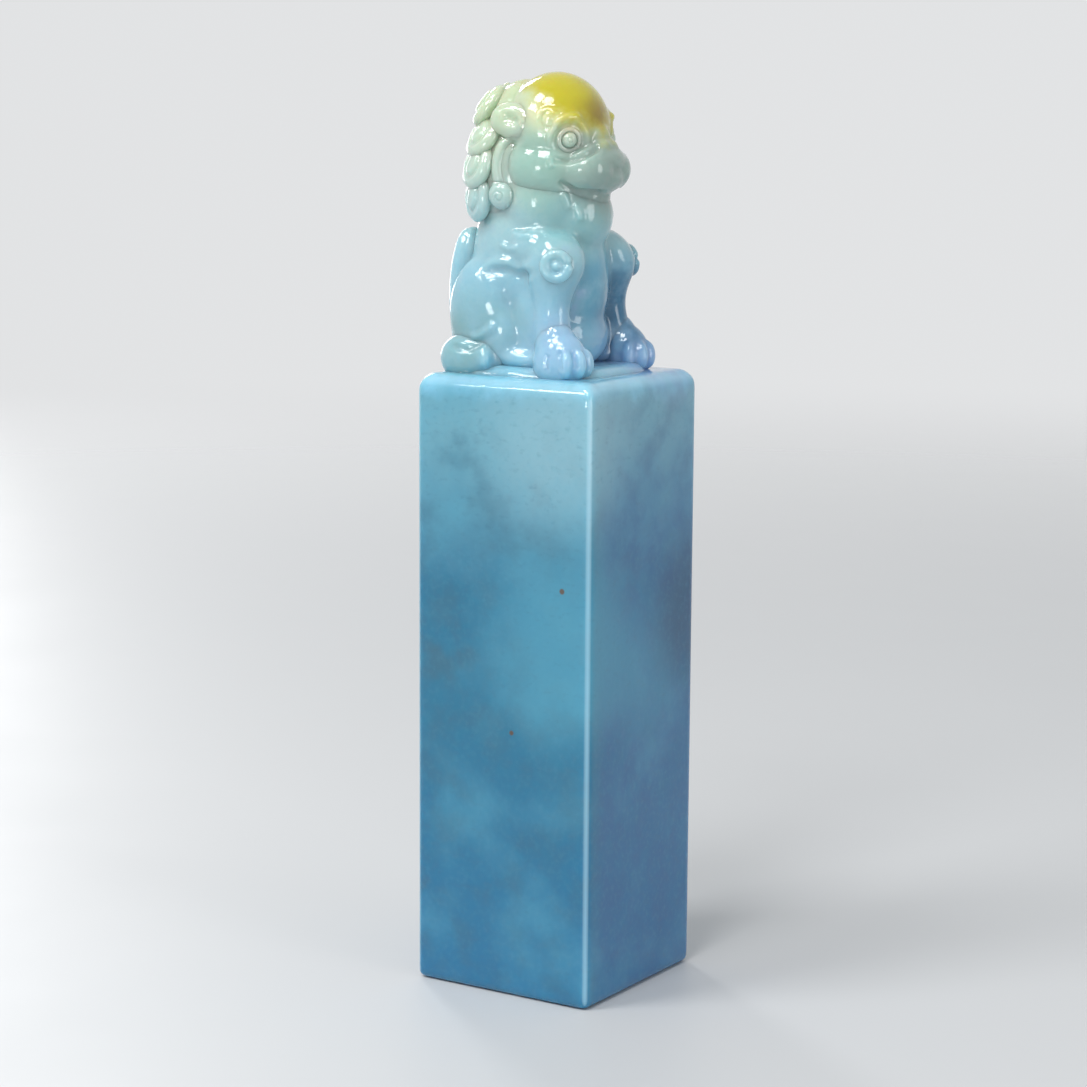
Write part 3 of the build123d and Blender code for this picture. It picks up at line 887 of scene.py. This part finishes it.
print("the right eye is at", [round(v, 1) for v in eye_place.translation])

# %% [markdown]
# The eyes are small balls, each in a lid that is a ring with a small gap. A fine circle is pressed into
# each ball for the pupil. They sit on the head where the photograph shows the right one, and the left
# one is its mirror image. The eye's place is measured again, because the head has been pressed and
# rubbed since.

# %% The eyes and their lids
eye_place = on_piece(head, EYE)
ball = egg(eye_place @ Vector((0, 0, -0.05)), (1.05, 1.05, 0.78), turn=eye_place)
eyes = fuse("eyeballs", [], [ball], grain=0.04, rounds=6)
pupil = settle(eyes, ring_points(eye_place, 0.2, 0, 360, count=24, out=0.4))
groove(eyes, [pupil], reach=0.1, depth=0.05, taper=0)
lid = worm(ring_points(eye_place, 0.7, 0, 345, count=17, out=-0.07), [0.18] * 17)
lids = fuse("eye_rims", [], [lid], grain=0.045, rounds=14)

# %% [markdown]
# The ears are leaves that lie back over the mane, with a raised rim. Two flat eggs, for the leaf and
# its tip, are laid on the head and turned out from it a little, and the middle is pressed in along one
# bent line, so that the rim stays.

# %% The ears
EAR = (513, 121)  # pixel
EAR_TURN, EAR_TILT = 0.9, radians(-14)  # how far out it turns, and how it tilts in its own plane


def ears_piece():
    point, normal = touch(head, EAR)
    place = facing(point, (normal - sight(EAR) * EAR_TURN).normalized())
    place = place @ Matrix.Rotation(EAR_TILT, 4, "Z")
    leaf = egg(place @ Vector((0, 0, -0.15)), (3.6, 2.5, 1.3), turn=place)
    tip = egg(place @ Vector((-0.8, -0.1, -0.15)), (2.0, 2.1, 1.2), turn=place)
    ears = fuse("ear_leaves", [], [leaf, tip], grain=0.06, rounds=24)
    bent = [place @ Vector((along / 10, 0.1 - along**2 / 500, 0.9)) for along in range(-8, 9)]
    groove(ears, [settle(ears, bent)], reach=0.7, depth=0.26, taper=0.3)
    return polish(ears, 6)


ears = ears_piece()

# %% [markdown]
# Each whisker ends in a drop-shaped curl beside the jaw: a flat ball with a swirl drawn into it, and a
# short stem that comes down from the whisker.

# %% The curls under the whiskers
CHEEK_CURL = (501, 196)  # pixel


def cheek_curls_piece():
    place = on_piece(head, CHEEK_CURL)
    drop = egg(place @ Vector((0, 0, -0.05)), (1.9, 1.9, 1.1), turn=place)
    stem = worm([place @ Vector((-0.25, 1.4, -0.45)), place @ Vector((-0.3, 0.6, -0.2))], [0.3, 0.45])
    curls = fuse("cheek_drops", [], [drop, stem], grain=0.05, rounds=20)
    swirl = swirl_points(place, start=200, step=18, count=28, outer=0.55, shrink=0.45, out=0.7)
    return groove(curls, [settle(curls, swirl)], reach=0.16, depth=0.06)


cheek_curls = cheek_curls_piece()

# %% [markdown]
# The locks of the mane are short fat curls in rows, each overlapping the row below it like a roof tile.
# One is a drop with a ridge along its back and a swirl in its lower end. All are made in the same way,
# about where the CAD has its round locks, and each gets its swirl after the row has been fused.

# %% The locks
LOCK_LENGTH, LOCK_THICKNESS = 3.4, 1.55
LOCK_LEAN = radians(12)  # lifts its lower end over the row below


def locks_piece(name, rise, turns, width, centre=MANE_PLACE, size=MANE_SIZE):
    places = [skin(centre, size, turn, rise) @ Matrix.Rotation(LOCK_LEAN, 4, "Y") for turn in turns]
    parts = []
    for place in places:
        parts.append(egg(place @ Vector((-0.2, 0, 0)), (LOCK_LENGTH, width, LOCK_THICKNESS), turn=place))
        back = [place @ Vector(point) for point in ((1.6, 0.5, -0.2), (0.8, 0.7, 0.0), (-0.1, 0.6, 0.1))]
        parts.append(worm(back, [0.3, 0.5, 0.5]))
    row = fuse(name, [], parts, grain=0.075, rounds=20)
    swirls = []
    for place in places:
        swirl = swirl_points(place, start=40, step=11, count=36, outer=0.42, shrink=0.27, out=0.8,
                             size=(LOCK_LENGTH, width), shift=-0.35)
        swirls.append(settle(row, swirl))
    groove(row, swirls, reach=0.34, depth=0.15)
    return polish(row, 3)


crown_locks = locks_piece("crown_curls", 26, [141], 3.1, CROWN_PLACE, CROWN_SIZE)
upper_locks = locks_piece("upper_curls", 33, [119, 160.5], 3.0)
middle_locks = locks_piece("middle_curls", 11, [119, 160.5], 3.05)
lower_locks = locks_piece("lower_curls", -11, [120, 160.5], 2.9)

# %% [markdown]
# The tail is a broad flame that lies flat up the back: a tall tongue in the middle and a shorter one to
# each side, which a broad base welds together. Three long wavy grooves on each side of the middle part
# the tongues and draw the hair.

# %% The tail
TAIL_GROOVES = ((-0.6, 44.6, 50.6), (-1.75, 44.4, 49.2), (-2.5, 44.6, 49.4))  # side, foot and top
WAVE, WAVE_TURN = 0.35, 1.3  # how far a groove swings to the side, and its turn in a millimetre


def tail_piece():
    middle = [egg((-5.9, 0, 47.8), (2.2, 3.3, 9.8)), egg((-5.5, 0, 44.8), (2.5, 7.0, 3.8))]
    sided = [egg((-6.0, -2.3, 47.3), (2.3, 2.8, 9.6)), egg((-5.75, -1.95, 50.2), (1.9, 2.6, 4.0))]
    tail = fuse("tail_flame", middle, sided, grain=0.08, rounds=24)
    lines = []
    for side, low, high in TAIL_GROOVES:
        heights = [low + share * (high - low) for share in (0, 0.2, 0.45, 0.7, 1)]
        points = [Vector((-7.2, side + WAVE * sin((z - low) * WAVE_TURN), z)) for z in heights]
        lines.append(settle(tail, through(points)))
    return groove(tail, lines, reach=0.3, depth=0.24)


tail = tail_piece()

# %% [markdown]
# These pieces were kept in millimetres until now, because rays and nearest places were taken on them.

# %% Hand the rest over
finish_piece(head, yellow_skin, [
    "skull", "brows", "jowls", "muzzle", "nose", "beard", "mane", "whiskers"
])
for piece, node in (
    (eyes, "eyes"), (lids, "eyelids"), (ears, "ears"), (cheek_curls, "cheek_curls"),
    (crown_locks, "crown_locks"), (upper_locks, "upper_locks"), (middle_locks, "middle_locks"),
    (lower_locks, "lower_locks"),
):
    finish_piece(piece, pale_jade, [node])
finish_piece(tail, blue_jade, ["tail", "tail_tongues"])

# %% [markdown]
# The stage is a pale floor that fades out into a pale sky before its edge can be seen. It is darker
# than the sky, because the lamps shine on it.

# %% The floor
FLOOR_PALE = (0.60, 0.61, 0.62)
FLOOR_RADIUS = 1.2  # metres
FADE_FROM, FADE_TO = 0.10, 0.42  # metres from the seal


def floor_piece():
    bpy.ops.object.select_all(action="DESELECT")
    bpy.ops.mesh.primitive_circle_add(vertices=96, radius=FLOOR_RADIUS, fill_type="NGON")
    floor = bpy.context.active_object
    floor.name = floor.data.name = "floor"
    material = bpy.data.materials.new("pale_floor")
    material.use_nodes = True
    tree = material.node_tree
    tree.nodes.clear()
    coordinates = Value(tree, tree.nodes.new("ShaderNodeTexCoord").outputs["Object"])
    distance = coordinates.make("ShaderNodeVectorMath", {"operation": "LENGTH"}, {0: coordinates}, out=1)
    grain = coordinates.make("ShaderNodeTexNoise", {}, {"Vector": coordinates, "Scale": 60, "Detail": 2})
    surface = coordinates.make("ShaderNodeBsdfPrincipled", {}, {
        "Base Color": (*FLOOR_PALE, 1), "Roughness": 0.45 + grain * 0.1,
        "Alpha": distance.fall(FADE_FROM, FADE_TO),
    })
    surface.make("ShaderNodeOutputMaterial", {}, {"Surface": surface})
    floor.data.materials.append(material)


floor_piece()
print("the floor has gone at", FADE_TO, "metres from the seal")

# %% [markdown]
# The sky is pale for the camera and in what the polished stone mirrors, but it lights the stone with
# about half of that, so that the lamps can model the forms.

# %% The sky
SKY_PALE, SKY_LIGHT = (0.76, 0.77, 0.78, 1), (0.95, 0.98, 1.0, 1)
SKY_LIGHT_STRENGTH = 0.42

world = bpy.data.worlds.new("studio")
world.use_nodes = True
bpy.context.scene.world = world
tree = world.node_tree
tree.nodes.clear()
rays = tree.nodes.new("ShaderNodeLightPath")
seen = Value(tree, rays.outputs["Is Camera Ray"])
for kind in ("Is Glossy Ray", "Is Transmission Ray"):
    seen = seen.most(Value(tree, rays.outputs[kind]))
dim = seen.make("ShaderNodeBackground", {}, {"Color": SKY_LIGHT, "Strength": SKY_LIGHT_STRENGTH})
bright = seen.make("ShaderNodeBackground", {}, {"Color": SKY_PALE, "Strength": 1.0})
sky = seen.make("ShaderNodeMixShader", {}, {"Fac": seen, 1: dim, 2: bright})
sky.make("ShaderNodeOutputWorld", {}, {"Surface": sky})
print("the sky lights the stone with a strength of", SKY_LIGHT_STRENGTH)

# %% [markdown]
# The main light is a large window-like softbox up to the left of the camera, in four panes so that the
# polished dome shows them. A tall weaker lamp behind draws a bright rim round the stone, one at the
# right fills the block's front side, and a small one low in front lifts the shade under the chin.

# %% The lamps
AIM = Vector((0, 0, 0.04))  # metres, a little below the lion
WINDOW_TURN, WINDOW_RISE, WINDOW_FAR = radians(-103), radians(51), 0.42
PANE_TURN, PANE_RISE = 0.37, 0.17  # radians from the window's middle to a pane's
PANE_SIZE, PANE_POWER = (0.12, 0.09), 0.38


def softbox(name, place, size, power):
    """A soft lamp with its place and size in metres, and its power in watts."""
    lamp = bpy.data.lights.new(name, "AREA")
    lamp.shape = "RECTANGLE"
    lamp.size, lamp.size_y = size
    lamp.energy = power
    holder = bpy.data.objects.new(name, lamp)
    bpy.context.collection.objects.link(holder)
    towards = AIM - Vector(place)
    holder.matrix_world = Matrix.Translation(place) @ towards.to_track_quat("-Z", "Y").to_matrix().to_4x4()


for row in (-1, 1):
    for column in (-1, 1):
        turn = WINDOW_TURN + column * PANE_TURN
        rise = WINDOW_RISE + row * PANE_RISE
        away = Vector((cos(turn) * cos(rise), sin(turn) * cos(rise), sin(rise))) * WINDOW_FAR
        softbox(f"window_{row}_{column}", away + AIM, PANE_SIZE, PANE_POWER)
softbox("back_rim", (-0.30, 0.22, 0.16), (0.06, 0.30), 0.35)
softbox("right_fill", (0.42, -0.05, 0.10), (0.16, 0.30), 0.45)
softbox("low_fill", (0.02, -0.48, 0.05), (0.10, 0.10), 0.25)
print("lamps:", len(bpy.data.lights))
